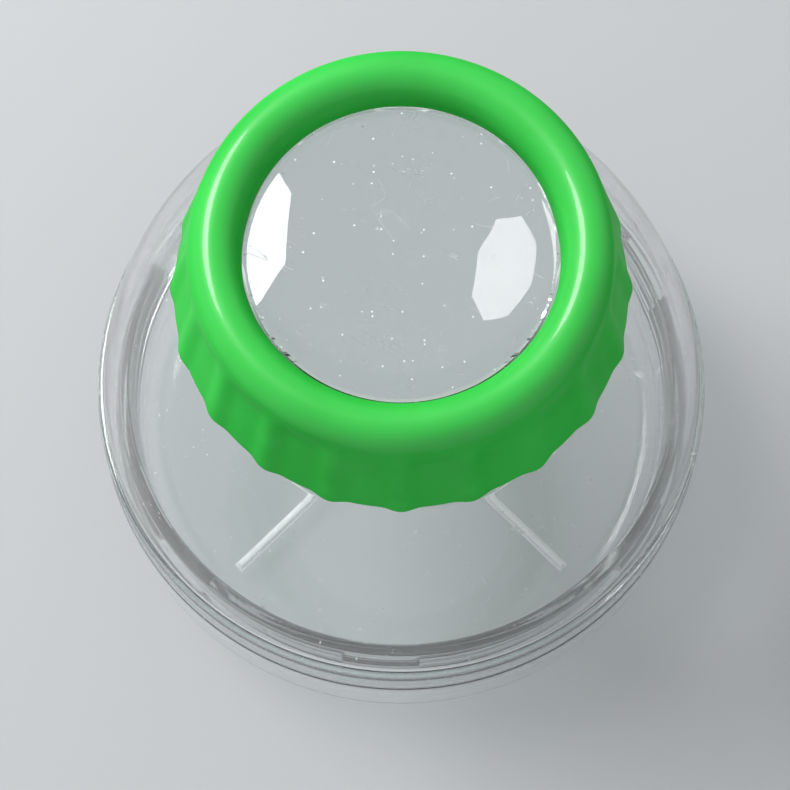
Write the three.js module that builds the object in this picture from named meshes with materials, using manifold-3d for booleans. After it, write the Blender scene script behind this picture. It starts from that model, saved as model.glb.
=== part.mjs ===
// A bug viewer box: a clear base tray, a clear bell-shaped dome that stands on it, and a green
// screw lid with a magnifying lens held in its opening. Millimetres, +Z up, with the origin on
// the ground at the centre of the base.
import * as THREE from 'three';
import { mergeVertices } from 'three/addons/utils/BufferGeometryUtils.js';
import Module from 'manifold-3d';

const wasm = await Module();
wasm.setup();

// Clearances between separate pieces
const SEAT_GAP = 0.3; // where one piece rests on another
const SLIDE_GAP = 0.4; // where one piece turns or slides round another

// Base tray: a cup with an outer skirt, and a collar that plugs up into the dome
const BASE_RADIUS = 45;
const BASE_WALL = 1.8;
const STEP_HEIGHT = 13.5; // top of the outer skirt, which the dome stands on
const COLLAR_HEIGHT = 9; // how far the collar rises above the step
const COLLAR_CLEARANCE = 0.7; // between the collar and the narrowest part of the dome round it
const FLOOR_RISE = 0.8; // air under the floor
const CUP_FILLET = 3; // inside corner between the floor and the wall
const STEP_ROUND = 0.8;
const FOOT_ROUND = 0.4;
const LIP_ROUND = 0.5;
const PAD_COUNT = 6; // friction pads round the collar
const PAD_ARC = 15; // degrees
const PAD_START = -94; // degrees, the middle of the first pad
const PAD_HEIGHT = 4.5;
const PAD_RISE = 1; // height of a pad's foot above the step
const RIB_WIDTH = 0.9; // the cross on the floor
const RIB_HEIGHT = 0.8;
const RIB_ANGLES = [45, 135]; // degrees

// Dome: a foot, a rounded bead round the rim, a bowed flank, a shoulder and a neck
const FOOT_SETBACK = 1.3; // how far the foot stands in from the base's edge
const DOME_WALL = 1.7;
const FOOT_HEIGHT = 3.4;
const RIM_BEAD_DEPTH = 1;
const RIM_BEAD_HEIGHT = 2.8;
const RIM_BEAD_ROUND = 0.8;
const FLANK_STEP = 0.3; // the flank starts this far outside the foot
const SHOULDER_RISE = 39; // from the rim bead to the top of the shoulder
const SHOULDER_ROUND = 2.8;
const SHOULDER_SLOPE = 31; // degrees between the flank's top and the axis
const SHOULDER_LAND = 2.35; // flat ledge round the neck
const NECK_RADIUS = 25;
const NECK_WALL = 2.2;
const NECK_HEIGHT = 11.3;
const NECK_ROUND = 0.5;

// Lid: a rolled bead round the opening, and a skirt that flares out under grip ridges
const LID_LIP = 1.05; // how far the lid's lip reaches in over the lens's flange
const LID_BEAD_HALF_WIDTH = 3.35;
const LID_BEAD_HALF_HEIGHT = 4.2;
const LID_BEAD_RISE = 3; // from the neck's seat to the widest level of the bead
const LID_FLARE = 5.4; // how far the skirt's ridges stand out from the neck at its lower edge
const LID_EDGE_LIFT = 0.5; // between the skirt's edge and the shoulder
const LID_WALL = 1.9;
const LID_SLEEVE_WALL = 1.3; // the sleeve that turns on the neck
const LID_CORE_TIP = 0.25; // the hollow behind the skirt narrows to this at its top
const RIDGE_COUNT = 20;
const RIDGE_HEIGHT = 0.57; // how far a ridge stands out from the plain skirt
const RIDGE_HALF_ARC = 5.5; // degrees from a ridge's crest to the plain skirt beside it
const RIDGE_RUNOUT = 1.6; // height under the bead in which the skirt comes out to the ridges' height

// Lens: a thick disc, bulging on both sides, with a flange that snaps under the lid's lip
const LENS_SLEEVE_WALL = 1.2; // the wall round the lens, inside the neck
const LENS_FLANGE_THICKNESS = 1.5;
const LENS_RIM_HEIGHT = 3.3; // the cylindrical edge above the flange
const LENS_CHAMFER = 0.3;
const LENS_BULGE = 2.3; // height of each convex face
const SNAP_DEPTH = 0.6; // how far the snap bead stands in under the flange
const SNAP_SLOPE = 0.2; // height of the snap bead's upper ramp
const SNAP_LAND = 0.2; // its straight inner face
const SNAP_LEAD = 0.4; // the lower ramp, which lets the flange in

const WELD_DISTANCE = 1e-4; // vertices closer than this are one

// Steps round and along the curved surfaces
const ROUND_STEPS = 48;
const ARC_STEPS = 2;
const FILLET_STEPS = 4;
const PAD_STEPS = 3;
const FLANK_STEPS = 6;
const SHOULDER_STEPS = 4;
const LENS_STEPS = 6;
const LID_BEAD_STEPS = 8;
const SKIRT_STEPS = 3;
const TANGENT_ROUNDS = 30; // rounds in which the skirt's tangent point settles

const radians = THREE.MathUtils.degToRad;

// Points of an arc in the (radius, height) plane, angles in degrees, both ends included
function arc(r, z, radius, from, to, steps = ARC_STEPS) {
  const points = [];
  for (let i = 0; i <= steps; i += 1) {
    const a = radians(from + (to - from) * i / steps);
    points.push([r + radius * Math.cos(a), z + radius * Math.sin(a)]);
  }
  return points;
}

// Moves an open outline sideways by a distance, to the left of its direction
function offset(points, distance) {
  return points.map(([r, z], i) => {
    const [r0, z0] = points[Math.max(i - 1, 0)];
    const [r1, z1] = points[Math.min(i + 1, points.length - 1)];
    const length = Math.hypot(r1 - r0, z1 - z0);
    return [r - distance * (z1 - z0) / length, z + distance * (r1 - r0) / length];
  });
}

// Heights and radii that follow from the sizes above
const footRadius = BASE_RADIUS - FOOT_SETBACK;
const domeBore = footRadius - DOME_WALL;
const footBottom = STEP_HEIGHT + SEAT_GAP;
const rimBottom = footBottom + FOOT_HEIGHT;
const rimTop = rimBottom + RIM_BEAD_HEIGHT;
const shoulderTop = rimTop + SHOULDER_RISE;
const neckTop = shoulderTop + NECK_HEIGHT;
const neckBore = NECK_RADIUS - NECK_WALL;
const lidSeat = neckTop + SEAT_GAP;
const lidBottom = shoulderTop + LID_EDGE_LIFT;
const lidBore = NECK_RADIUS + SLIDE_GAP;
const lensSleeve = neckBore - SLIDE_GAP;
const lensPocket = lensSleeve - LENS_SLEEVE_WALL;
const lidOpening = lensPocket - LID_LIP;
const lidEdge = NECK_RADIUS + LID_FLARE;
const flangeTop = lidSeat - SEAT_GAP;
const flangeBottom = flangeTop - LENS_FLANGE_THICKNESS;

// The bowed flank and the round shoulder, from the rim up: a quadratic curve that runs into the
// shoulder's arc in the arc's own direction
function domeFlank() {
  const centreRadius = NECK_RADIUS + SHOULDER_LAND;
  const centreHeight = shoulderTop - SHOULDER_ROUND;
  const shoulder = arc(centreRadius, centreHeight, SHOULDER_ROUND, SHOULDER_SLOPE, 90, SHOULDER_STEPS);
  const [endRadius, endHeight] = shoulder[0];
  const middleHeight = (rimTop + endHeight) / 2;
  const middleRadius = endRadius + (endHeight - middleHeight) * Math.tan(radians(SHOULDER_SLOPE));
  const curve = new THREE.QuadraticBezierCurve(
    new THREE.Vector2(footRadius + FLANK_STEP, rimTop),
    new THREE.Vector2(middleRadius, middleHeight),
    new THREE.Vector2(endRadius, endHeight),
  );
  const flank = curve.getPoints(FLANK_STEPS).slice(0, -1).map((p) => [p.x, p.y]);
  return [...flank, ...shoulder];
}

// Least radius of a rising outline up to a height
function leastRadius(outline, height) {
  const next = outline.findIndex(([, z]) => z > height);
  const [r0, z0] = outline[next - 1];
  const [r1, z1] = outline[next];
  const there = r0 + (r1 - r0) * (height - z0) / (z1 - z0);
  return Math.min(there, ...outline.slice(0, next).map(([r]) => r));
}

const flankOutside = domeFlank();
const domeInside = [
  [domeBore, footBottom],
  [domeBore, rimTop - DOME_WALL],
  ...offset(flankOutside, DOME_WALL),
];
const collarTop = STEP_HEIGHT + COLLAR_HEIGHT;
const collarRadius = leastRadius(domeInside, collarTop) - COLLAR_CLEARANCE;
const cupBore = collarRadius - BASE_WALL;

// Merges shared vertices and drops the triangles that vanish on the axis
function weld(geometry) {
  geometry.deleteAttribute('normal');
  geometry.deleteAttribute('uv');
  const welded = mergeVertices(geometry, WELD_DISTANCE);
  const index = Array.from(welded.index.array);
  const kept = [];
  for (let i = 0; i < index.length; i += 3) {
    const [a, b, c] = index.slice(i, i + 3);
    if (a !== b && b !== c && c !== a) kept.push(a, b, c);
  }
  welded.setIndex(kept);
  return welded;
}

// Revolves an outline of (radius, height) points about +Z. The outline runs anticlockwise round
// the material, seen with the radius to the right, and starts and ends on the axis or closes.
function revolve(outline, steps = ROUND_STEPS) {
  const points = outline.map(([r, z]) => new THREE.Vector2(r, z));
  const onAxis = outline[0][0] === 0 && outline[outline.length - 1][0] === 0;
  if (!onAxis) points.push(points[0].clone());
  return weld(new THREE.LatheGeometry(points, steps).rotateX(Math.PI / 2));
}

function toSolid(geometry) {
  const welded = weld(geometry);
  return new wasm.Manifold(new wasm.Mesh({
    numProp: 3,
    vertProperties: new Float32Array(welded.attributes.position.array),
    triVerts: new Uint32Array(welded.index.array),
  }));
}

function fromSolid(solid) {
  const mesh = solid.getMesh();
  const geometry = new THREE.BufferGeometry();
  geometry.setAttribute('position', new THREE.BufferAttribute(mesh.vertProperties, 3));
  geometry.setIndex(new THREE.BufferAttribute(mesh.triVerts, 1));
  return geometry;
}

// The cup, its skirt and the collar as one wall
function trayBody() {
  const floorTop = FLOOR_RISE + BASE_WALL;
  const skirtBore = BASE_RADIUS - BASE_WALL;
  const webBottom = STEP_HEIGHT - BASE_WALL;
  const outerFillet = CUP_FILLET + BASE_WALL;
  return revolve([
    [0, FLOOR_RISE],
    ...arc(collarRadius - outerFillet, FLOOR_RISE + outerFillet, outerFillet, 270, 360, FILLET_STEPS),
    [collarRadius, webBottom],
    [skirtBore, webBottom],
    ...arc(skirtBore + FOOT_ROUND, FOOT_ROUND, FOOT_ROUND, 180, 270),
    ...arc(BASE_RADIUS - FOOT_ROUND, FOOT_ROUND, FOOT_ROUND, 270, 360),
    ...arc(BASE_RADIUS - STEP_ROUND, STEP_HEIGHT - STEP_ROUND, STEP_ROUND, 0, 90),
    [collarRadius, STEP_HEIGHT],
    ...arc(collarRadius - LIP_ROUND, collarTop - LIP_ROUND, LIP_ROUND, 0, 90),
    ...arc(cupBore + LIP_ROUND, collarTop - LIP_ROUND, LIP_ROUND, 90, 180),
    ...arc(cupBore - CUP_FILLET, floorTop + CUP_FILLET, CUP_FILLET, 0, -90, FILLET_STEPS),
    [0, floorTop],
  ]);
}

// One friction pad: a short stretch of ring on the outside of the collar
function trayPad(middle) {
  const inner = collarRadius - BASE_WALL / 2;
  const outer = domeBore - SEAT_GAP;
  const from = radians(middle - PAD_ARC / 2);
  const to = radians(middle + PAD_ARC / 2);
  const shape = new THREE.Shape();
  shape.absarc(0, 0, outer, from, to, false);
  shape.absarc(0, 0, inner, to, from, true);
  shape.closePath();
  const settings = { depth: PAD_HEIGHT, bevelEnabled: false, curveSegments: PAD_STEPS };
  return new THREE.ExtrudeGeometry(shape, settings).translate(0, 0, STEP_HEIGHT + PAD_RISE);
}

// One arm of the cross, right across the floor as far as the corner fillet
function trayRib(angle) {
  const length = 2 * (cupBore - CUP_FILLET);
  const sunk = BASE_WALL / 2;
  const bottom = FLOOR_RISE + BASE_WALL - sunk;
  const rib = new THREE.BoxGeometry(length, RIB_WIDTH, RIB_HEIGHT + sunk);
  return rib.translate(0, 0, bottom + (RIB_HEIGHT + sunk) / 2).rotateZ(radians(angle));
}

function baseTray() {
  let solid = toSolid(trayBody());
  for (const angle of RIB_ANGLES) solid = solid.add(toSolid(trayRib(angle)));
  for (let i = 0; i < PAD_COUNT; i += 1) {
    solid = solid.add(toSolid(trayPad(PAD_START + i * 360 / PAD_COUNT)));
  }
  return fromSolid(solid);
}

function dome() {
  const rimRadius = footRadius + RIM_BEAD_DEPTH;
  return revolve([
    [footRadius, footBottom],
    [footRadius, rimBottom],
    ...arc(rimRadius - RIM_BEAD_ROUND, rimBottom + RIM_BEAD_ROUND, RIM_BEAD_ROUND, 270, 360),
    ...arc(rimRadius - RIM_BEAD_ROUND, rimTop - RIM_BEAD_ROUND, RIM_BEAD_ROUND, 0, 90),
    ...flankOutside,
    [NECK_RADIUS, shoulderTop],
    ...arc(NECK_RADIUS - NECK_ROUND, neckTop - NECK_ROUND, NECK_ROUND, 0, 90),
    ...arc(neckBore + NECK_ROUND, neckTop - NECK_ROUND, NECK_ROUND, 90, 180),
    [neckBore, shoulderTop - DOME_WALL],
    ...[...domeInside].reverse(),
  ]);
}

// The angle on the bead's section, from its outermost point up, where the straight skirt leaves
// it without a crease
function skirtTangent(beadRadius, beadHeight) {
  const ratio = LID_BEAD_HALF_HEIGHT / LID_BEAD_HALF_WIDTH;
  let angle = 0;
  for (let i = 0; i < TANGENT_ROUNDS; i += 1) {
    const r = beadRadius + LID_BEAD_HALF_WIDTH * Math.cos(angle);
    const z = beadHeight + LID_BEAD_HALF_HEIGHT * Math.sin(angle);
    angle = Math.atan(ratio * (lidEdge - r) / (z - lidBottom));
  }
  return angle;
}

// The skirt's outside from its lower edge up to the bead, then over the bead into the opening
function lidOutside() {
  const beadRadius = lidOpening + LID_BEAD_HALF_WIDTH;
  const beadHeight = lidSeat + LID_BEAD_RISE;
  const start = skirtTangent(beadRadius, beadHeight);
  const bead = [];
  for (let i = 0; i <= LID_BEAD_STEPS; i += 1) {
    const a = start + (Math.PI - start) * i / LID_BEAD_STEPS;
    const r = beadRadius + LID_BEAD_HALF_WIDTH * Math.cos(a);
    bead.push([r, beadHeight + LID_BEAD_HALF_HEIGHT * Math.sin(a)]);
  }
  const [topRadius, topHeight] = bead[0];
  const slope = (lidEdge - topRadius) / (topHeight - lidBottom);
  const skirt = [];
  for (let i = 0; i <= SKIRT_STEPS; i += 1) {
    const rise = (topHeight - RIDGE_RUNOUT - lidBottom) * i / SKIRT_STEPS;
    skirt.push([lidEdge - slope * rise, lidBottom + rise]);
  }
  return { outline: [...skirt, ...bead], slope, topHeight };
}

// Angles that a ridge's steps fall on, in degrees after its crest. The last runs into the next.
const ridgePitch = 360 / RIDGE_COUNT;
const ridgeSteps = [
  0,
  RIDGE_HALF_ARC / 2,
  RIDGE_HALF_ARC,
  ridgePitch - RIDGE_HALF_ARC,
  ridgePitch - RIDGE_HALF_ARC / 2,
];

// How much of a ridge's height is there at an angle after its crest, from 0 to 1
function ridgeProfile(after) {
  const away = Math.min(after, ridgePitch - after);
  return away < RIDGE_HALF_ARC ? (1 + Math.cos(Math.PI * away / RIDGE_HALF_ARC)) / 2 : 0;
}

// Turns the even steps of a revolved lid to the ridges' own, and lowers the skirt between the
// ridges, up to just under the bead. A ridge faces -Y.
function ridged(geometry, topHeight, innermost) {
  const position = geometry.attributes.position;
  const total = RIDGE_COUNT * ridgeSteps.length;
  for (let i = 0; i < position.count; i += 1) {
    const r = Math.hypot(position.getX(i), position.getY(i));
    const z = position.getZ(i);
    const turn = Math.atan2(position.getX(i), -position.getY(i)) / (2 * Math.PI) + 1;
    const step = Math.round(turn * total) % total;
    const after = ridgeSteps[step % ridgeSteps.length];
    const angle = radians(Math.floor(step / ridgeSteps.length) * ridgePitch + after);
    const share = THREE.MathUtils.clamp((topHeight - z) / RIDGE_RUNOUT, 0, 1);
    const depth = r < innermost(z) ? 0 : RIDGE_HEIGHT * share;
    const radius = r - depth * (1 - ridgeProfile(after));
    position.setX(i, radius * Math.sin(angle));
    position.setY(i, -radius * Math.cos(angle));
  }
  return geometry;
}

function lidRing() {
  const { outline, slope, topHeight } = lidOutside();
  const skirtInset = (z) => lidEdge - slope * (z - lidBottom) - LID_WALL;
  const sleeveOutside = lidBore + LID_SLEEVE_WALL;
  const coreWidth = skirtInset(lidBottom) - sleeveOutside;
  const coreTop = lidBottom + (coreWidth - LID_CORE_TIP) / slope;
  const snapTop = flangeBottom - SEAT_GAP;
  const snapBottom = snapTop - SNAP_SLOPE - SNAP_LAND - SNAP_LEAD;
  const geometry = revolve([
    ...outline,
    [lidOpening, lidSeat],
    [lensPocket, lidSeat],
    [lensPocket, snapTop],
    [lensPocket - SNAP_DEPTH, snapTop - SNAP_SLOPE],
    [lensPocket - SNAP_DEPTH, snapTop - SNAP_SLOPE - SNAP_LAND],
    [lensPocket, snapBottom],
    [lensSleeve, snapBottom],
    [lensSleeve, lidSeat],
    [lidBore, lidSeat],
    [lidBore, lidBottom],
    [sleeveOutside, lidBottom],
    [sleeveOutside, coreTop],
    [skirtInset(coreTop), coreTop],
    [skirtInset(lidBottom), lidBottom],
  ], RIDGE_COUNT * ridgeSteps.length);
  return ridged(geometry, topHeight, (z) => skirtInset(z) + LID_WALL / 2);
}

// A convex face of the lens from its edge to the axis or back, as an arc through the bulge
function lensFace(radius, height, bulge) {
  const curvature = (radius * radius + bulge * bulge) / (2 * Math.abs(bulge));
  const centre = height + bulge - Math.sign(bulge) * curvature;
  const points = [];
  for (let i = 0; i <= LENS_STEPS; i += 1) {
    const r = radius * (1 - i / LENS_STEPS);
    points.push([r, centre + Math.sign(bulge) * Math.sqrt(curvature * curvature - r * r)]);
  }
  return points;
}

function lens() {
  const rimRadius = lidOpening - SLIDE_GAP;
  const rimTopHeight = flangeTop + LENS_RIM_HEIGHT;
  const flangeRadius = lensPocket - SEAT_GAP;
  const faceRadius = rimRadius - LENS_CHAMFER;
  return revolve([
    ...lensFace(faceRadius, flangeBottom, -LENS_BULGE).reverse(),
    [flangeRadius, flangeBottom],
    [flangeRadius, flangeTop],
    [rimRadius, flangeTop],
    [rimRadius, rimTopHeight - LENS_CHAMFER],
    ...lensFace(faceRadius, rimTopHeight, LENS_BULGE),
  ]);
}

function plastic(color, roughness, opacity) {
  return new THREE.MeshStandardMaterial({
    color, roughness, metalness: 0, opacity, transparent: opacity < 1,
  });
}

function part(name, geometry, material) {
  geometry.computeVertexNormals();
  const mesh = new THREE.Mesh(geometry, material);
  mesh.name = name;
  return mesh;
}

const viewer = new THREE.Group();
viewer.add(part('base_tray', baseTray(), plastic(0xdfe6e6, 0.08, 0.3)));
viewer.add(part('dome', dome(), plastic(0xe4eaea, 0.06, 0.25)));
viewer.add(part('lid_ring', lidRing(), plastic(0x1fc43c, 0.3, 1)));
viewer.add(part('lens', lens(), plastic(0xeef4f4, 0.03, 0.25)));

export default viewer;
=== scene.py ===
"""A bug viewer box: a clear tray, a clear bell-shaped dome and a green screw lid with a lens.

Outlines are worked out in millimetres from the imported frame, and meshes are made in metres.
"""

import math

import bpy
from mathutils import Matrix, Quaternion, Vector
from mathutils.geometry import tessellate_polygon


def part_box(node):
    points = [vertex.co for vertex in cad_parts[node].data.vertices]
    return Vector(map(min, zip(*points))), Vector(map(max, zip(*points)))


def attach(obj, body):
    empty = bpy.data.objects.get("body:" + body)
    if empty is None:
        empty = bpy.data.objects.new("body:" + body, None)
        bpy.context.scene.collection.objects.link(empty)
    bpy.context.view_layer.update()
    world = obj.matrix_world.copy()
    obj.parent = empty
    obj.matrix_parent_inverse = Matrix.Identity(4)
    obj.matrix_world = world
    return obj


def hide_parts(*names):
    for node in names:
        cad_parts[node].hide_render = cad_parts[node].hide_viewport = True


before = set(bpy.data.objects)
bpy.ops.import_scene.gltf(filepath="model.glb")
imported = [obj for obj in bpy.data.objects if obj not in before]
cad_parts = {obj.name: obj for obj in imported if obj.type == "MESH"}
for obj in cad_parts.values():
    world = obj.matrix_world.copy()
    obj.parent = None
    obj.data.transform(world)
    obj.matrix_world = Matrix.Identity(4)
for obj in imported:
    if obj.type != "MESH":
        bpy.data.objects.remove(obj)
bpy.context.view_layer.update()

MM = 0.001

# Clearances, walls and radii, in millimetres, as the solids have them
SEAT_GAP = 0.3
SLIDE_GAP = 0.4
BASE_WALL = 1.8
FLOOR_RISE = 0.8
CUP_FILLET = 3.0
COLLAR_RADIUS = 41.09
DOME_WALL = 1.7
NECK_RADIUS = 25.0
NECK_WALL = 2.2
LID_WALL = 1.9
LID_SLEEVE_WALL = 1.3
LENS_SLEEVE_WALL = 1.2

# Steps round the axis and along the arcs
ROUND_STEPS = 192
ARC_STEPS = 8
FILLET_STEPS = 16

SAME_RADIUS = 1e-6  # millimetres within which a vertex lies on a given radius


def span(node):
    """Radius, bottom and top of a node, in millimetres."""
    low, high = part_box(node)
    return high.x / MM, low.z / MM, high.z / MM


# Outlines in the (radius, height) plane

def arc(r, z, radius, start, end, steps=ARC_STEPS):
    """Points of an arc, angles in degrees, both ends included."""
    points = []
    for i in range(steps + 1):
        a = math.radians(start + (end - start) * i / steps)
        points.append((r + radius * math.cos(a), z + radius * math.sin(a)))
    return points


def line(start, end, steps):
    """Points of a straight run, without its last point."""
    (r0, z0), (r1, z1) = start, end
    return [(r0 + (r1 - r0) * i / steps, z0 + (z1 - z0) * i / steps) for i in range(steps)]


def offset(points, distance):
    """An open outline moved sideways, to the left of its direction."""
    moved = []
    for i, (r, z) in enumerate(points):
        r0, z0 = points[max(i - 1, 0)]
        r1, z1 = points[min(i + 1, len(points) - 1)]
        length = math.hypot(r1 - r0, z1 - z0)
        moved.append((r - distance * (z1 - z0) / length, z + distance * (r1 - r0) / length))
    return moved


def even_angles(steps):
    return [2 * math.pi * i / steps for i in range(steps)]


def revolve(outline, angles, shape=None):
    """Vertices and faces of an outline turned about the axis, in millimetres.

    The outline runs anticlockwise round the material. One that starts on the axis ends there
    too, or stays open at its last ring, and any other closes on itself.
    shape(r, z, angle) gives the radius of a vertex where it isn't r."""
    rings, vertices = [], []
    for r, z in outline:
        if r == 0:
            rings.append([len(vertices)] * len(angles))
            vertices.append((0, 0, z))
            continue
        rings.append(list(range(len(vertices), len(vertices) + len(angles))))
        for a in angles:
            radius = shape(r, z, a) if shape else r
            vertices.append((radius * math.cos(a), radius * math.sin(a), z))
    if outline[0][0] != 0:
        rings.append(rings[0])
    faces = []
    for low, high in zip(rings, rings[1:]):
        for i in range(len(angles)):
            j = (i + 1) % len(angles)
            face = [low[i], low[j], high[j], high[i]]
            faces.append([v for k, v in enumerate(face) if v != face[k - 1]])
    return vertices, faces


def mesh_object(name, vertices, faces, sharp=30):
    """A smooth-shaded object in metres, with edges over sharp degrees kept crisp."""
    mesh = bpy.data.meshes.new(name)
    mesh.from_pydata([(x * MM, y * MM, z * MM) for x, y, z in vertices], [], faces)
    mesh.validate()
    mesh.shade_smooth()
    mesh.set_sharp_from_angle(angle=math.radians(sharp))
    piece = bpy.data.objects.new(name, mesh)
    bpy.context.scene.collection.objects.link(piece)
    return piece


def paint(piece, name, value):
    """A number from 0 to 1 at each vertex, for the material. value(x, y, z) takes millimetres."""
    layer = piece.data.attributes.new(name, "FLOAT", "POINT")
    for vertex, entry in zip(piece.data.vertices, layer.data):
        entry.value = value(*(c / MM for c in vertex.co))


def smoothstep(x):
    x = min(max(x, 0.0), 1.0)
    return x * x * (3 - 2 * x)


# The screw thread, the same helix on the neck and in the lid
THREAD_STARTS = 2
THREAD_LEAD = 6.0
THREAD_HALF_WIDTH = 0.62
THREAD_FLANK = 0.34
THREAD_FADE = 0.35  # radians over which a rib runs out


def thread_height(z, angle, first, turn):
    """Height of the ribs, from 0 to 1, at a level and angle. Each start begins at level first
    and climbs for turn radians."""
    best = 0.0
    for start in range(THREAD_STARTS):
        base = angle - start * 2 * math.pi / THREAD_STARTS
        for lap in range(-1, 3):
            along = base + lap * 2 * math.pi
            if not 0 <= along <= turn:
                continue
            away = abs(z - first - THREAD_LEAD * along / (2 * math.pi))
            rib = smoothstep((THREAD_HALF_WIDTH - away) / THREAD_FLANK)
            ends = smoothstep(along / THREAD_FADE) * smoothstep((turn - along) / THREAD_FADE)
            best = max(best, rib * ends)
    return best


# Base tray

PAD_COUNT = 6
PAD_ARC = 15.0
PAD_START = -94.0
PAD_HEIGHT = 4.5
PAD_RISE = 1.0
PAD_ROUND = 0.35
PAD_ANGLE_STEP = 0.16  # degrees between the extra vertices at a pad's side
PAD_LEVEL_STEP = 0.12  # millimetres between the extra vertices at its top and bottom
PAD_EXTRA_STEPS = 3  # to each side of an edge
SAME_ANGLE = 1e-4  # radians between vertices that count as one
RIB_WIDTH = 0.9
RIB_END_GAP = 1.5  # between a rib's end and the outermost ring of the flat floor
CROSS_CORNERS = 12
RIB_FROST_RISE = 0.02  # the ribs are frosted from this height above the floor
FLOOR_BORDER = 0.4  # flat strip between the fillet and the filled part of the floor
STEP_HEIGHT = 13.5
STEP_ROUND = 0.8
FOOT_ROUND = 0.4
LIP_ROUND = 0.5

# Section of a rib from the floor up: how far outside its half width, and how high
RIB_SECTION = [
    (0.6, 0.0), (0.3, 0.0), (0.16, 0.03), (0.06, 0.12), (0.0, 0.3), (-0.04, 0.6), (-0.09, 0.7),
    (-0.17, 0.77), (-0.28, 0.8),
]


def tray_angles():
    """Even angles, with more of them at the sides of the pads."""
    angles = set(even_angles(ROUND_STEPS))
    for i in range(PAD_COUNT):
        for side in (-0.5, 0.5):
            edge = PAD_START + 360 * i / PAD_COUNT + side * PAD_ARC
            for k in range(-PAD_EXTRA_STEPS, PAD_EXTRA_STEPS + 1):
                angles.add(math.radians(edge + k * PAD_ANGLE_STEP) % (2 * math.pi))
    ordered = sorted(angles)
    return [a for k, a in enumerate(ordered) if a - ordered[k - 1] > SAME_ANGLE or k == 0]


def pad_shape(outer):
    """Raises the pads on the collar, for revolve."""
    bottom = STEP_HEIGHT + PAD_RISE

    def shape(r, z, angle):
        if abs(r - COLLAR_RADIUS) > SAME_RADIUS:
            return r
        across = (math.degrees(angle) - PAD_START) % (360 / PAD_COUNT)
        away = min(across, 360 / PAD_COUNT - across)
        side = math.radians(PAD_ARC / 2 - away) * COLLAR_RADIUS
        level = min(z - bottom, bottom + PAD_HEIGHT - z)
        rise = smoothstep(side / PAD_ROUND + 0.5) * smoothstep(level / PAD_ROUND + 0.5)
        return r + (outer - r) * rise

    return shape


def cross_outline(half_width, half_length, z):
    """The twelve corners of the cross on the floor, turned by 45 degrees."""
    w, l = half_width, half_length
    corners = [(w, -w), (l, -w), (l, w), (w, w), (w, l), (-w, l),
               (-w, w), (-l, w), (-l, -w), (-w, -w), (-w, -l), (w, -l)]
    c = math.sqrt(0.5)
    return [((x - y) * c, (x + y) * c, z) for x, y in corners]


def add_cross(vertices, faces, ring, floor_top):
    """Fills the flat floor inside its last ring of vertices, with the cross standing on it."""
    half_length = math.hypot(*vertices[ring[0]][:2]) - RIB_END_GAP
    loops = []
    for out, rise in RIB_SECTION:
        loops.append(range(len(vertices), len(vertices) + CROSS_CORNERS))
        vertices += cross_outline(RIB_WIDTH / 2 + out, half_length + out, floor_top + rise)
    border = [*ring, *loops[0]]
    for corners in tessellate_polygon([[Vector(vertices[i]) for i in ring],
                                       [Vector(vertices[i]) for i in loops[0]]]):
        a, b, c = (border[i] for i in corners)
        (ax, ay, _), (bx, by, _), (cx, cy, _) = vertices[a], vertices[b], vertices[c]
        upward = (bx - ax) * (cy - ay) > (by - ay) * (cx - ax)
        faces.append((a, b, c) if upward else (a, c, b))
    for low, high in zip(loops, loops[1:]):
        for i in range(CROSS_CORNERS):
            j = (i + 1) % CROSS_CORNERS
            faces.append((low[i], low[j], high[j], high[i]))
    top = loops[-1]
    for quad in ((0, 3, 6, 9), (0, 1, 2, 3), (3, 4, 5, 6), (6, 7, 8, 9), (9, 10, 11, 0)):
        faces.append([top[i] for i in quad])


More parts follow.
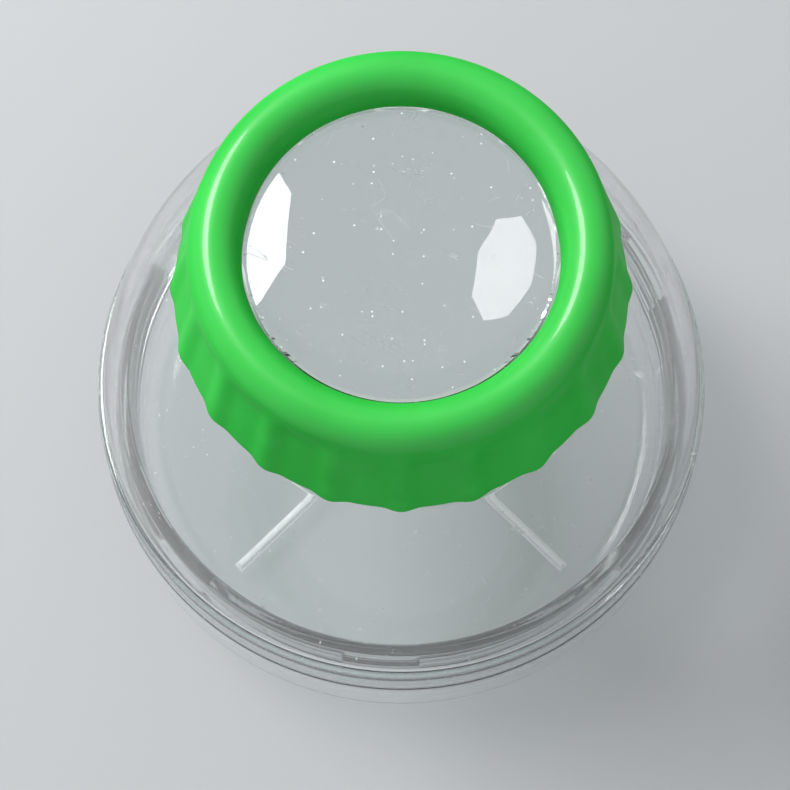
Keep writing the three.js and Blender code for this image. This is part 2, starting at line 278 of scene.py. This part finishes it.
def make_tray():
    radius, _, collar_top = span("base_tray")
    cup_bore = COLLAR_RADIUS - BASE_WALL
    floor_top = FLOOR_RISE + BASE_WALL
    skirt_bore = radius - BASE_WALL
    web_bottom = STEP_HEIGHT - BASE_WALL
    outer_fillet = CUP_FILLET + BASE_WALL
    pad_outer = span("dome")[0] - RIM_BEAD_DEPTH - DOME_WALL - SEAT_GAP
    pad_levels = []
    for edge in (STEP_HEIGHT + PAD_RISE, STEP_HEIGHT + PAD_RISE + PAD_HEIGHT):
        for k in range(-PAD_EXTRA_STEPS, PAD_EXTRA_STEPS + 1):
            pad_levels.append((COLLAR_RADIUS, edge + k * PAD_LEVEL_STEP))
    outline = [
        (0, FLOOR_RISE),
        *arc(COLLAR_RADIUS - outer_fillet, FLOOR_RISE + outer_fillet, outer_fillet, 270, 360,
             FILLET_STEPS),
        (COLLAR_RADIUS, web_bottom),
        (skirt_bore, web_bottom),
        *arc(skirt_bore + FOOT_ROUND, FOOT_ROUND, FOOT_ROUND, 180, 270),
        *arc(radius - FOOT_ROUND, FOOT_ROUND, FOOT_ROUND, 270, 360),
        *arc(radius - STEP_ROUND, STEP_HEIGHT - STEP_ROUND, STEP_ROUND, 0, 90),
        (COLLAR_RADIUS, STEP_HEIGHT),
        *pad_levels,
        *arc(COLLAR_RADIUS - LIP_ROUND, collar_top - LIP_ROUND, LIP_ROUND, 0, 90),
        *arc(cup_bore + LIP_ROUND, collar_top - LIP_ROUND, LIP_ROUND, 90, 180),
        *arc(cup_bore - CUP_FILLET, floor_top + CUP_FILLET, CUP_FILLET, 0, -90, FILLET_STEPS),
        (cup_bore - CUP_FILLET - FLOOR_BORDER, floor_top),
    ]
    angles = tray_angles()
    vertices, faces = revolve(outline, angles, pad_shape(pad_outer))
    floor_ring = range(len(vertices) - len(angles), len(vertices))
    plain_faces = len(faces)
    add_cross(vertices, faces, floor_ring, floor_top)
    tray = mesh_object("tray_shell", vertices, faces)
    for face in tray.data.polygons[plain_faces:]:
        highest = max(tray.data.vertices[i].co.z / MM for i in face.vertices)
        face.material_index = int(highest > floor_top + RIB_FROST_RISE)
    return tray


# Dome

RIM_BEAD_DEPTH = 1.0
RIM_BEAD_HEIGHT = 2.8
RIM_BEAD_ROUND = 0.8
FOOT_HEIGHT = 3.4
FLANK_STEP = 0.3
SHOULDER_ROUND = 2.8
SHOULDER_SLOPE = 31.0
SHOULDER_LAND = 2.35
NECK_HEIGHT = 11.3
NECK_ROUND = 0.5
NECK_ROOT = 24.1  # radius between the ribs of the thread
NECK_THREAD_FIRST = 62.2
NECK_THREAD_TURN = 2 * math.pi * 1.05
FLANK_STEPS = 40
SHOULDER_STEPS = 24
THREAD_STEP = 0.14


def dome_flank(foot_radius, rim_top, shoulder_top):
    """The bowed flank and the round shoulder, which it runs into in the arc's own direction."""
    centre = (NECK_RADIUS + SHOULDER_LAND, shoulder_top - SHOULDER_ROUND)
    shoulder = arc(*centre, SHOULDER_ROUND, SHOULDER_SLOPE, 90, SHOULDER_STEPS)
    end_r, end_z = shoulder[0]
    middle_z = (rim_top + end_z) / 2
    middle_r = end_r + (end_z - middle_z) * math.tan(math.radians(SHOULDER_SLOPE))
    start_r = foot_radius + FLANK_STEP
    flank = []
    for i in range(FLANK_STEPS):
        t = i / FLANK_STEPS
        a, b, c = (1 - t) ** 2, 2 * t * (1 - t), t * t
        flank.append((a * start_r + b * middle_r + c * end_r,
                      a * rim_top + b * middle_z + c * end_z))
    return flank + shoulder


def neck_shape(r, z, angle):
    """Raises the thread on the neck's outside, for revolve."""
    if abs(r - NECK_ROOT) > SAME_RADIUS:
        return r
    return r + (NECK_RADIUS - r) * thread_height(z, angle, NECK_THREAD_FIRST, NECK_THREAD_TURN)


def make_dome():
    rim_radius, foot_bottom, neck_top = span("dome")
    foot_radius = rim_radius - RIM_BEAD_DEPTH
    bore = foot_radius - DOME_WALL
    rim_bottom = foot_bottom + FOOT_HEIGHT
    rim_top = rim_bottom + RIM_BEAD_HEIGHT
    shoulder_top = neck_top - NECK_HEIGHT
    neck_bore = NECK_RADIUS - NECK_WALL
    outside = dome_flank(foot_radius, rim_top, shoulder_top)
    inside = offset(outside, DOME_WALL)
    levels = int((NECK_HEIGHT - 2 * NECK_ROUND) / THREAD_STEP)
    outline = [
        (foot_radius, foot_bottom),
        (foot_radius, rim_bottom),
        *arc(rim_radius - RIM_BEAD_ROUND, rim_bottom + RIM_BEAD_ROUND, RIM_BEAD_ROUND, 270, 360),
        *arc(rim_radius - RIM_BEAD_ROUND, rim_top - RIM_BEAD_ROUND, RIM_BEAD_ROUND, 0, 90),
        *outside,
        *arc(NECK_ROOT + NECK_ROUND, shoulder_top + NECK_ROUND, NECK_ROUND, 270, 180, steps=5)[:-1],
        *line((NECK_ROOT, shoulder_top + NECK_ROUND), (NECK_ROOT, neck_top - NECK_ROUND), levels),
        *arc(NECK_ROOT - NECK_ROUND, neck_top - NECK_ROUND, NECK_ROUND, 0, 90),
        *arc(neck_bore + NECK_ROUND, neck_top - NECK_ROUND, NECK_ROUND, 90, 180),
        *arc(neck_bore + NECK_ROUND, shoulder_top - DOME_WALL + NECK_ROUND, NECK_ROUND, 180, 270,
             steps=5),
        *reversed(inside),
        (bore, rim_top - DOME_WALL),
        (bore, foot_bottom),
    ]
    vertices, faces = revolve(outline, even_angles(ROUND_STEPS), neck_shape)
    return mesh_object("dome_shell", vertices, faces)


# Lid

LID_BEAD_HALF_WIDTH = 3.35
LID_BEAD_RISE = 3.0
LID_LIP = 1.05
LID_LIP_ROUND = 0.25
LID_CORE_TIP = 0.25
LID_EDGE_ROUND = 0.4
LID_EDGE_STEP = 0.08  # the skirt's foot is this much thinner than the skirt
RIDGE_COUNT = 20
RIDGE_HEIGHT = 0.57
RIDGE_HALF_ARC = 5.5
RIDGE_RUNOUT = 4.0  # height under the bead in which the hollows end softly
RIDGE_STEPS = 16
LENS_FLANGE_THICKNESS = 1.5
SNAP_DEPTH = 0.6
SNAP_SLOPE = 0.2
SNAP_LAND = 0.2
SNAP_LEAD = 0.4
LID_THREAD_CREST = 24.55
LID_THREAD_DROP = 1.4  # the lid's ribs lie this far under the neck's
TANGENT_ROUNDS = 30
BEAD_STEPS = 40
SKIRT_STEPS = 18
RUNOUT_STEPS = 12


def skirt_tangent(bead_r, bead_z, half_width, half_height, edge, bottom):
    """The angle on the bead's section where the straight skirt leaves it without a crease."""
    angle = 0.0
    for _ in range(TANGENT_ROUNDS):
        r = bead_r + half_width * math.cos(angle)
        z = bead_z + half_height * math.sin(angle)
        angle = math.atan(half_height / half_width * (edge - r) / (z - bottom))
    return angle


def ridge_profile(angle):
    """How much of a ridge's height is there, from 0 to 1. A ridge faces the camera, at -Y."""
    pitch = 360 / RIDGE_COUNT
    across = (math.degrees(angle) + 90) % pitch
    away = min(across, pitch - across)
    return (1 + math.cos(math.pi * away / RIDGE_HALF_ARC)) / 2 if away < RIDGE_HALF_ARC else 0.0


def make_lid():
    edge, bottom, top = span("lid_ring")
    seat = span("dome")[2] + SEAT_GAP
    bore = NECK_RADIUS + SLIDE_GAP
    sleeve_out = bore + LID_SLEEVE_WALL
    lens_sleeve = NECK_RADIUS - NECK_WALL - SLIDE_GAP
    pocket = lens_sleeve - LENS_SLEEVE_WALL
    opening = pocket - LID_LIP
    bead_r = opening + LID_BEAD_HALF_WIDTH
    bead_z = seat + LID_BEAD_RISE
    half_height = top - bead_z
    start = skirt_tangent(bead_r, bead_z, LID_BEAD_HALF_WIDTH, half_height, edge, bottom)
    bead = []
    for i in range(BEAD_STEPS + 1):
        a = start + (math.pi - start) * i / BEAD_STEPS
        bead.append((bead_r + LID_BEAD_HALF_WIDTH * math.cos(a),
                     bead_z + half_height * math.sin(a)))
    top_r, top_z = bead[0]
    slope = (edge - top_r) / (top_z - bottom)

    def inset(z):
        return edge - slope * (z - bottom) - LID_WALL

    core_top = bottom + (inset(bottom) - sleeve_out - LID_CORE_TIP) / slope
    flange_bottom = seat - SEAT_GAP - LENS_FLANGE_THICKNESS
    snap_top = flange_bottom - SEAT_GAP
    snap_in = pocket - SNAP_DEPTH
    snap_bottom = snap_top - SNAP_SLOPE - SNAP_LAND - SNAP_LEAD
    levels = int((seat - bottom) / THREAD_STEP)
    skirt_start = (edge - slope * LID_EDGE_ROUND, bottom + LID_EDGE_ROUND)
    foot_centre = (skirt_start[0] - LID_EDGE_ROUND, bottom + LID_EDGE_ROUND)
    runout_start = (top_r + slope * RIDGE_RUNOUT, top_z - RIDGE_RUNOUT)
    outline = [
        *arc(*foot_centre, LID_EDGE_ROUND, 270, 360, steps=6)[:-1],
        *line(skirt_start, runout_start, SKIRT_STEPS),
        *line(runout_start, (top_r, top_z), RUNOUT_STEPS),
        *bead,
        *arc(opening + LID_LIP_ROUND, seat + LID_LIP_ROUND, LID_LIP_ROUND, 180, 270, steps=4),
        (pocket, seat),
        (pocket, snap_top),
        (snap_in, snap_top - SNAP_SLOPE),
        (snap_in, snap_top - SNAP_SLOPE - SNAP_LAND),
        (pocket, snap_bottom),
        (lens_sleeve, snap_bottom),
        (lens_sleeve, seat),
        *line((bore, seat), (bore, bottom), levels),
        (bore, bottom),
        (sleeve_out, bottom),
        (sleeve_out, core_top),
        (inset(core_top), core_top),
        (inset(bottom) + LID_EDGE_STEP, bottom),
    ]

    def on_skirt(r, z):
        """1 on the skirt's outside, down to 0 where it meets the bead, and 0 elsewhere."""
        return smoothstep((top_z - z) / RIDGE_RUNOUT) if r > inset(z) + LID_WALL / 2 else 0.0

    def shape(r, z, angle):
        if abs(r - bore) < SAME_RADIUS:
            first = NECK_THREAD_FIRST - LID_THREAD_DROP
            return r - (bore - LID_THREAD_CREST) * thread_height(z, angle, first, NECK_THREAD_TURN)
        return r - RIDGE_HEIGHT * on_skirt(r, z) * (1 - ridge_profile(angle))

    vertices, faces = revolve(outline, even_angles(RIDGE_COUNT * RIDGE_STEPS), shape)
    lid = mesh_object("lid_shell", vertices, faces)
    paint(lid, "wear", lambda x, y, z: ridge_profile(math.atan2(y, x)) ** 2
          * on_skirt(math.hypot(x, y), z))
    return lid


# Lens

LENS_RIM_HEIGHT = 3.3
LENS_CHAMFER = 0.3
FACE_STEPS = 24


def lens_face(radius, height, bulge):
    """A convex face from its edge to the axis, as an arc through the bulge."""
    curvature = (radius * radius + bulge * bulge) / (2 * abs(bulge))
    side = math.copysign(1, bulge)
    centre = height + bulge - side * curvature
    points = []
    for i in range(FACE_STEPS + 1):
        r = radius * (1 - i / FACE_STEPS)
        points.append((r, centre + side * math.sqrt(curvature * curvature - r * r)))
    return points


def make_lens():
    flange_radius, low, high = span("lens")
    seat = span("dome")[2] + SEAT_GAP
    flange_top = seat - SEAT_GAP
    flange_bottom = flange_top - LENS_FLANGE_THICKNESS
    pocket = NECK_RADIUS - NECK_WALL - SLIDE_GAP - LENS_SLEEVE_WALL
    rim_radius = pocket - LID_LIP - SLIDE_GAP
    rim_top = flange_top + LENS_RIM_HEIGHT
    face_radius = rim_radius - LENS_CHAMFER
    outline = [
        *reversed(lens_face(face_radius, flange_bottom, low - flange_bottom)),
        (flange_radius, flange_bottom),
        (flange_radius, flange_top),
        (rim_radius, flange_top),
        (rim_radius, rim_top - LENS_CHAMFER),
        *lens_face(face_radius, rim_top, high - rim_top),
    ]
    vertices, faces = revolve(outline, even_angles(ROUND_STEPS))
    return mesh_object("lens_disc", vertices, faces)


# Materials

BACKGROUND = (0.6, 0.61, 0.62, 1)
BACKGROUND_STARTS = (0.16, 0.6)  # metres from the axis, from the lit floor to the even background
DUST_CELLS = 800.0  # per metre, at most one speck of dust in each
DUST_RADIUS = 0.14  # of a cell's side
DUST_COLOR = (0.9, 0.91, 0.92, 1)
HAIRLINE_STRETCH = (0.12, 1.0, 1.0)
TRAY_TINT = (0.965, 0.985, 0.985)
DOME_TINT = (0.975, 0.99, 0.99)
LENS_TINT = (0.985, 0.993, 0.993)
CLEAR_PASSES = (0.94, 0.95, 0.95, 1)  # the share of the lamp's light that passes each surface
FROST_COLOR = (0.9, 0.92, 0.92, 1)
FROST_PASSES = (0.8, 0.81, 0.81, 1)
GREEN_DEEP = (0.026, 0.51, 0.052, 1)
GREEN_PALE = (0.033, 0.57, 0.064, 1)
GREEN_WORN = (0.055, 0.62, 0.09, 1)
FLOOR_COLOR = (0.52, 0.53, 0.54, 1)
POLYSTYRENE_IOR = 1.57
ACRYLIC_IOR = 1.49
GREEN_IOR = 1.46


def new_material(name):
    material = bpy.data.materials.new(name)
    material.use_nodes = True
    tree = material.node_tree
    tree.nodes.clear()
    shader = tree.nodes.new("ShaderNodeBsdfPrincipled")
    output = tree.nodes.new("ShaderNodeOutputMaterial")
    return material, tree, shader, output


def add_node(tree, kind, settings=None, **inputs):
    """A node with its settings, and its inputs set or linked by name, with _ for a space."""
    made = tree.nodes.new(kind)
    for key, value in (settings or {}).items():
        setattr(made, key, value)
    for key, value in inputs.items():
        socket = made.inputs[key.replace("_", " ")]
        if isinstance(value, bpy.types.NodeSocket):
            tree.links.new(value, socket)
        else:
            socket.default_value = value
    return made


def maths(tree, operation, *values):
    made = tree.nodes.new("ShaderNodeMath")
    made.operation = operation
    for i, value in enumerate(values):
        if isinstance(value, bpy.types.NodeSocket):
            tree.links.new(value, made.inputs[i])
        else:
            made.inputs[i].default_value = value
    return made.outputs[0]


def remap(tree, value, source, target=(0.0, 1.0)):
    """A smooth step from one range of values to another."""
    return add_node(tree, "ShaderNodeMapRange", {"interpolation_type": "SMOOTHSTEP"}, Value=value,
                    From_Min=source[0], From_Max=source[1],
                    To_Min=target[0], To_Max=target[1]).outputs[0]


def noise(tree, place, scale, detail=2.0):
    return add_node(tree, "ShaderNodeTexNoise", Vector=place, Scale=scale, Detail=detail).outputs[0]


def object_place(tree):
    return tree.nodes.new("ShaderNodeTexCoord").outputs["Object"]


def scratches(tree, place, turn, scale, width, share):
    """Short hairlines along one direction, from 0 to 1. A larger share leaves fewer of them."""
    turned = add_node(tree, "ShaderNodeMapping", Vector=place, Rotation=turn)
    stretched = add_node(tree, "ShaderNodeMapping", Vector=turned.outputs[0],
                         Scale=HAIRLINE_STRETCH)
    streaks = noise(tree, stretched.outputs[0], scale, detail=1.0)
    away = maths(tree, "ABSOLUTE", maths(tree, "SUBTRACT", streaks, 0.5))
    hairline = remap(tree, away, (width, 0.0))
    patches = remap(tree, noise(tree, place, scale * 0.9, detail=1.0), (share, share + 0.04))
    return maths(tree, "MULTIPLY", hairline, patches)


def specks(tree, place, scale, radius, share):
    """Small round dots in a share of the cells, from 0 to 1."""
    cells = add_node(tree, "ShaderNodeTexVoronoi", Vector=place, Scale=scale)
    dot = remap(tree, cells.outputs["Distance"], (radius, radius * 0.5))
    chance = add_node(tree, "ShaderNodeSeparateColor", Color=cells.outputs["Color"]).outputs[0]
    return maths(tree, "MULTIPLY", dot, maths(tree, "LESS_THAN", chance, share))


def let_light_through(tree, surface, output, color):
    """The lamp's light goes straight through, and only what the camera sees is bent."""
    path = tree.nodes.new("ShaderNodeLightPath")
    unbent = maths(tree, "MAXIMUM", path.outputs["Is Shadow Ray"], path.outputs["Is Diffuse Ray"])
    clear = add_node(tree, "ShaderNodeBsdfTransparent", Color=color)
    mix = tree.nodes.new("ShaderNodeMixShader")
    tree.links.new(unbent, mix.inputs[0])
    tree.links.new(surface, mix.inputs[1])
    tree.links.new(clear.outputs[0], mix.inputs[2])
    tree.links.new(mix.outputs[0], output.inputs["Surface"])


def dusted(tree, place, surface, share):
    """A surface with specks of pale dust in a share of the cells."""
    dust = add_node(tree, "ShaderNodeBsdfDiffuse", Color=DUST_COLOR)
    mix = tree.nodes.new("ShaderNodeMixShader")
    tree.links.new(specks(tree, place, DUST_CELLS, DUST_RADIUS, share), mix.inputs[0])
    tree.links.new(surface, mix.inputs[1])
    tree.links.new(dust.outputs[0], mix.inputs[2])
    return mix.outputs[0]


def clear_plastic(name, ior, tint, haze, mark_strength, dust_share):
    """Clear moulded plastic with hairlines, specks, dust and haze, which lets the lamp's light
    through unbent."""
    material, tree, shader, output = new_material(name)
    place = object_place(tree)
    marks = maths(tree, "MAXIMUM",
                  scratches(tree, place, turn=(0.1, 0.2, 0.5), scale=260.0, width=0.006, share=0.6),
                  scratches(tree, place, turn=(0.3, -0.2, 2.1), scale=330.0, width=0.006,
                            share=0.62))
    marks = maths(tree, "MAXIMUM", marks, specks(tree, place, scale=420.0, radius=0.09, share=0.16))
    clouds = remap(tree, noise(tree, place, 90.0, detail=4.0), (0.4, 0.7), (haze * 0.3, haze))
    roughness = maths(tree, "MULTIPLY_ADD", marks, mark_strength, clouds)
    waves = noise(tree, place, 70.0, detail=1.0)
    bump = add_node(tree, "ShaderNodeBump", Strength=0.06, Distance=0.0004, Height=waves)
    tree.links.new(roughness, shader.inputs["Roughness"])
    tree.links.new(bump.outputs[0], shader.inputs["Normal"])
    shader.inputs["Base Color"].default_value = (*tint, 1)
    shader.inputs["IOR"].default_value = ior
    shader.inputs["Transmission Weight"].default_value = 1.0
    surface = dusted(tree, place, shader.outputs[0], dust_share)
    let_light_through(tree, surface, output, CLEAR_PASSES)
    return material


def frosted_plastic():
    """The etched faces of the tray's cross, cloudier in places."""
    material, tree, shader, output = new_material("frosted_rib")
    place = object_place(tree)
    roughness = remap(tree, noise(tree, place, 700.0, detail=4.0), (0.35, 0.65), (0.42, 0.6))
    bump = add_node(tree, "ShaderNodeBump", Strength=0.5, Distance=0.0001,
                    Height=noise(tree, place, 2600.0, detail=3.0))
    tree.links.new(roughness, shader.inputs["Roughness"])
    tree.links.new(bump.outputs[0], shader.inputs["Normal"])
    shader.inputs["Base Color"].default_value = FROST_COLOR
    shader.inputs["IOR"].default_value = POLYSTYRENE_IOR
    shader.inputs["Transmission Weight"].default_value = 0.35
    let_light_through(tree, shader.outputs[0], output, FROST_PASSES)
    return material


def green_plastic():
    """Satin green plastic, a little lighter and rougher where fingers rub the ridges.

    Its gloss fades at flat angles, unlike real plastic's. That keeps the pale floor's reflection
    off the skirt, which is dark in the photograph."""
    material, tree, shader, output = new_material("green_plastic")
    place = object_place(tree)
    rubbed = add_node(tree, "ShaderNodeAttribute", {"attribute_name": "wear"}).outputs["Fac"]
    uneven = remap(tree, noise(tree, place, 240.0, detail=4.0), (0.42, 0.62), (0.2, 1.0))
    rubbed = maths(tree, "MULTIPLY", rubbed, uneven)
    hairlines = maths(tree, "MAXIMUM",
                      scratches(tree, place, turn=(0.2, 0.4, 0.9), scale=300.0, width=0.008,
                                share=0.6),
                      scratches(tree, place, turn=(-0.3, 0.1, 2.4), scale=380.0, width=0.008,
                                share=0.62))
    shade = remap(tree, noise(tree, place, 55.0, detail=3.0), (0.35, 0.65))
    body = add_node(tree, "ShaderNodeMix", {"data_type": "RGBA"})
    tree.links.new(shade, body.inputs[0])
    body.inputs[6].default_value = GREEN_DEEP
    body.inputs[7].default_value = GREEN_PALE
    worn = add_node(tree, "ShaderNodeMix", {"data_type": "RGBA"})
    tree.links.new(maths(tree, "MULTIPLY", rubbed, 0.45), worn.inputs[0])
    tree.links.new(body.outputs[2], worn.inputs[6])
    worn.inputs[7].default_value = GREEN_WORN
    roughness = remap(tree, noise(tree, place, 130.0, detail=4.0), (0.35, 0.65), (0.38, 0.46))
    roughness = maths(tree, "MULTIPLY_ADD", rubbed, 0.12, roughness)
    roughness = maths(tree, "MULTIPLY_ADD", hairlines, 0.15, roughness)
    peel = noise(tree, place, 900.0)
    height = maths(tree, "MULTIPLY_ADD", hairlines, -0.4, peel)
    bump = add_node(tree, "ShaderNodeBump", Strength=0.12, Distance=0.0001, Height=height)
    tree.links.new(worn.outputs[2], shader.inputs["Base Color"])
    tree.links.new(roughness, shader.inputs["Roughness"])
    tree.links.new(bump.outputs[0], shader.inputs["Normal"])
    shader.inputs["IOR"].default_value = GREEN_IOR
    facing = tree.nodes.new("ShaderNodeLayerWeight").outputs["Facing"]
    gloss = remap(tree, facing, (0.2, 0.62), (0.5, 0.03))
    polish = remap(tree, facing, (0.2, 0.55), (0.4, 0.0))
    tree.links.new(gloss, shader.inputs["Specular IOR Level"])
    tree.links.new(polish, shader.inputs["Coat Weight"])
    shader.inputs["Coat Roughness"].default_value = 0.06
    tree.links.new(shader.outputs[0], output.inputs["Surface"])
    return material


def seen_ray(tree):
    """1 for rays that the camera sees, straight, in a reflection or through clear plastic."""
    path = tree.nodes.new("ShaderNodeLightPath")
    mirrored = maths(tree, "MAXIMUM", path.outputs["Is Glossy Ray"],
                     path.outputs["Is Transmission Ray"])
    return maths(tree, "MAXIMUM", path.outputs["Is Camera Ray"], mirrored)


def floor_material():
    """Pale paper, which runs into the even background far from the object."""
    material, tree, shader, output = new_material("floor_paper")
    shader.inputs["Base Color"].default_value = FLOOR_COLOR
    shader.inputs["Roughness"].default_value = 0.9
    away = add_node(tree, "ShaderNodeVectorMath", {"operation": "LENGTH"},
                    Vector=object_place(tree))
    far = remap(tree, away.outputs["Value"], BACKGROUND_STARTS)
    backdrop = add_node(tree, "ShaderNodeEmission", Color=BACKGROUND)
    mix = tree.nodes.new("ShaderNodeMixShader")
    tree.links.new(maths(tree, "MULTIPLY", far, seen_ray(tree)), mix.inputs[0])
    tree.links.new(shader.outputs[0], mix.inputs[1])
    tree.links.new(backdrop.outputs[0], mix.inputs[2])
    tree.links.new(mix.outputs[0], output.inputs["Surface"])
    return material


# Pieces

def dress(piece, material, node, body):
    piece.data.materials.append(material)
    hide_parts(node)
    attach(piece, body)


tray_plastic = clear_plastic("clear_tray", POLYSTYRENE_IOR, TRAY_TINT, haze=0.05,
                             mark_strength=0.25, dust_share=0.06)
dome_plastic = clear_plastic("clear_dome", POLYSTYRENE_IOR, DOME_TINT, haze=0.05,
                             mark_strength=0.25, dust_share=0.08)
lens_plastic = clear_plastic("clear_lens", ACRYLIC_IOR, LENS_TINT, haze=0.02,
                             mark_strength=0.45, dust_share=0.3)
tray_shell = make_tray()
dress(tray_shell, tray_plastic, "base_tray", "tray")
tray_shell.data.materials.append(frosted_plastic())
dress(make_dome(), dome_plastic, "dome", "pot")
dress(make_lens(), lens_plastic, "lens", "magnifier")
dress(make_lid(), green_plastic(), "lid_ring", "lid")


# Floor, lamp and camera

FLOOR_SIDE = 8.0


def make_floor():
    h = FLOOR_SIDE / 2 / MM
    floor = mesh_object("floor", [(-h, -h, 0), (h, -h, 0), (h, h, 0), (-h, h, 0)], [(0, 1, 2, 3)])
    floor.data.materials.append(floor_material())


def make_soft_box():
    """An eight-sided soft box above and behind the object on its left, facing it."""
    way = Vector((-0.543, 0.39, 0.744)).normalized()
    aim = Vector((0, 0, 0.05))
    distance = 0.7
    width = 0.44
    height = 0.293
    roll = 35.0
    radiance = 14.5
    lamp = bpy.data.lights.new("soft_box", "AREA")
    lamp.shape = "RECTANGLE"
    lamp.size = width
    lamp.size_y = height
    lamp.energy = radiance * math.pi * width * height
    lamp.use_nodes = True
    tree = lamp.node_tree
    across = add_node(tree, "ShaderNodeSeparateXYZ",
                      Vector=tree.nodes.new("ShaderNodeNewGeometry").outputs["Parametric"])
    from_middle = []
    for i in range(2):
        offset_along = maths(tree, "SUBTRACT", across.outputs[i], 0.5)
        from_middle.append(maths(tree, "ABSOLUTE", offset_along))
    inside = maths(tree, "LESS_THAN", maths(tree, "ADD", *from_middle), math.sqrt(0.5))
    tree.links.new(inside, tree.nodes["Emission"].inputs["Strength"])
    holder = bpy.data.objects.new("soft_box", lamp)
    holder.location = aim + way * distance
    holder.rotation_mode = "QUATERNION"
    turn = Quaternion((0, 0, 1), math.radians(roll))
    holder.rotation_quaternion = way.to_track_quat("Z", "Y") @ turn
    bpy.context.scene.collection.objects.link(holder)


def make_world():
    """Soft light from all sides, and the even background where the camera sees past the floor."""
    world = bpy.data.worlds.new("studio")
    world.use_nodes = True
    tree = world.node_tree
    light = tree.nodes["Background"]
    light.inputs["Color"].default_value = (0.97, 0.98, 1.0, 1)
    light.inputs["Strength"].default_value = 0.5
    backdrop = add_node(tree, "ShaderNodeBackground", Color=BACKGROUND)
    mix = tree.nodes.new("ShaderNodeMixShader")
    tree.links.new(seen_ray(tree), mix.inputs[0])
    tree.links.new(light.outputs[0], mix.inputs[1])
    tree.links.new(backdrop.outputs[0], mix.inputs[2])
    tree.links.new(mix.outputs[0], tree.nodes["World Output"].inputs["Surface"])
    bpy.context.scene.world = world


def make_camera():
    """A camera above the front, as fitted to the rings of the object."""
    frame_pixels = 790
    focal_pixels = 2358
    axis_pixel = 401.2
    pitch = 73.2
    place = (0, -0.10272, 0.35129)
    data = bpy.data.cameras.new("camera")
    data.sensor_width = 36
    data.lens = data.sensor_width * focal_pixels / frame_pixels
    data.shift_x = (frame_pixels / 2 - axis_pixel) / frame_pixels
    data.clip_start = 0.01
    camera = bpy.data.objects.new("camera", data)
    camera.location = place
    camera.rotation_euler = (math.radians(90 - pitch), 0, 0)
    bpy.context.scene.collection.objects.link(camera)
    bpy.context.scene.camera = camera


make_floor()
make_soft_box()
make_world()
make_camera()

scene = bpy.context.scene
scene.view_settings.view_transform = "Standard"
scene.cycles.max_bounces = 24
scene.cycles.transmission_bounces = 24
scene.cycles.transparent_max_bounces = 32


def corners(box):
    return [[round(x, 6) for x in corner] for corner in box]
